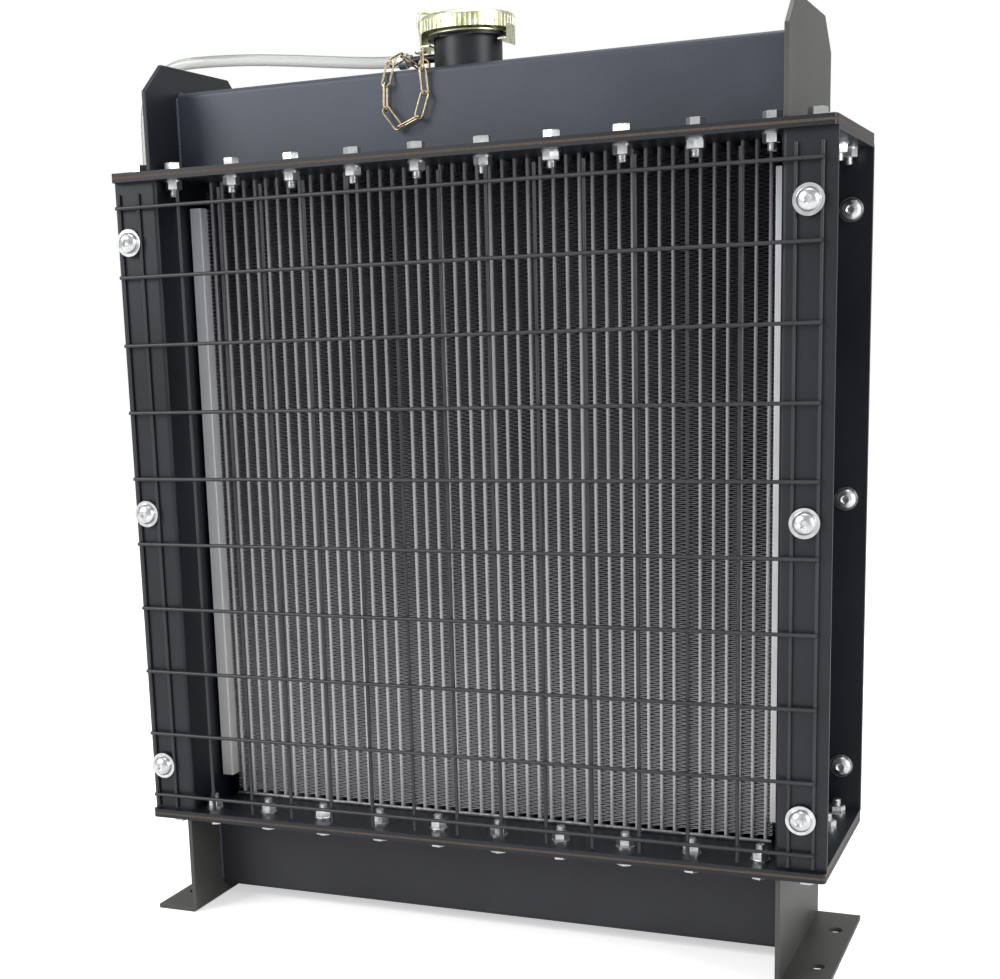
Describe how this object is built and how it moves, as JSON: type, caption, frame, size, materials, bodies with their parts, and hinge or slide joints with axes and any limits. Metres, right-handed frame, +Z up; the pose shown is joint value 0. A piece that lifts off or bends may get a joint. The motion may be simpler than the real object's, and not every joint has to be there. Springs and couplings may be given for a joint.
{
  "type": "car radiator",
  "caption": "Upright radiator in a bolted steel frame, with a wire guard, filler neck and turning cap, chain, overflow hose, drain cock and a fan shroud behind the core",
  "frame": {"origin": "on the ground under the middle of the overall box", "axes": "X runs across the core, Y runs from the guard (front, minus) to the fan shroud (back, plus), Z is up"},
  "size_m": [0.645, 0.2382, 0.8015],
  "materials": {
    "frame_paint": "satin dark blue-grey paint",
    "gasket_fibre": "dull brown fibre and rubber sheet",
    "bright_zinc": "bright zinc plating",
    "guard_wire": "dark painted wire",
    "core_metal": "dull light grey tube",
    "fin_metal": "thin dark folded strip",
    "side_plate_metal": "plain mill sheet",
    "cap_zinc": "yellow passivated zinc",
    "valve_metal": "stamped brass",
    "spring_steel": "spring steel",
    "seal_rubber": "black rubber",
    "chain_brass": "dull brass",
    "clear_hose": "pale clear soft plastic"
  },
  "bodies": {
    "frame": {"bottom_flange_bolts": "bright_zinc", "bottom_flange_nuts": "bright_zinc", "bottom_flange_washers": "bright_zinc", "bottom_gasket": "gasket_fibre", "bottom_header_plate": "frame_paint", "bottom_tank_flange": "frame_paint", "bottom_tank_shell": "frame_paint", "chain_staple": "chain_brass", "core_side_plate_left": "side_plate_metal", "core_side_plate_right": "side_plate_metal", "core_tubes": "core_metal", "drain_cock_body": "chain_brass", "fan_shroud": "frame_paint", "filler_neck": "frame_paint", "fin_strips": "fin_metal", "foot_bracket_left": "frame_paint", "foot_bracket_right": "frame_paint", "guard_bolts": "bright_zinc", "guard_level_wires": "guard_wire", "guard_nuts": "bright_zinc", "guard_upright_wires": "guard_wire", "guard_washers": "bright_zinc", "hose_clip": "bright_zinc", "inlet_pipe": "frame_paint", "outlet_pipe": "frame_paint", "overflow_hose": "clear_hose", "overflow_nipple": "frame_paint", "shroud_bolts": "bright_zinc", "shroud_nuts": "bright_zinc", "shroud_ring": "frame_paint", "shroud_washers": "bright_zinc", "side_channel_left": "frame_paint", "side_channel_right": "frame_paint", "top_end_plate_left": "frame_paint", "top_end_plate_right": "frame_paint", "top_flange_bolts": "bright_zinc", "top_flange_nuts": "bright_zinc", "top_flange_washers": "bright_zinc", "top_gasket": "gasket_fibre", "top_header_plate": "frame_paint", "top_tank_flange": "frame_paint", "top_tank_shell": "frame_paint"},
    "cap_inner": {"cap_bell": "cap_zinc", "cap_rivet": "cap_zinc", "cap_top_seal": "seal_rubber", "chain_arm": "cap_zinc", "cap_chain": "chain_brass", "pressure_spring": "spring_steel"},
    "cap_turning": {"cap_shell": "cap_zinc"},
    "pressure_valve_unit": {"pressure_valve": "valve_metal", "valve_seal": "seal_rubber", "vacuum_spring": "spring_steel"},
    "vacuum_valve_unit": {"vacuum_valve": "valve_metal"},
    "drain_key": {"drain_cock_key": "chain_brass"}
  },
  "joints": [
    {"name": "cap_rise", "type": "slide", "parent": "frame", "child": "cap_inner", "axis": [0, 0, 1], "range_m": [0, 0.0025]},
    {"name": "cap_turn", "type": "hinge", "parent": "cap_inner", "child": "cap_turning", "pos_m": [-0.008, -0.0229, 0.79], "axis": [0, 0, 1], "range_deg": [0, 90]},
    {"name": "pressure_lift", "type": "slide", "parent": "cap_inner", "child": "pressure_valve_unit", "axis": [0, 0, 1], "range_m": [0, 0.003], "stiffness_N_per_m": 4000, "springref_m": -0.01, "deforming": ["pressure_spring"]},
    {"name": "vacuum_drop", "type": "slide", "parent": "pressure_valve_unit", "child": "vacuum_valve_unit", "axis": [0, 0, -1], "range_m": [0, 0.002], "stiffness_N_per_m": 100, "springref_m": -0.006, "deforming": ["vacuum_spring"]},
    {"name": "drain_turn", "type": "hinge", "parent": "frame", "child": "drain_key", "pos_m": [0.19, 0.03, 0.032], "axis": [0, 1, 0], "range_deg": [0, 90]}
  ],
  "couplings": [
    {"joint": "cap_rise", "follows": "cap_turn", "m_per_rad": 0.0015915}
  ]
}
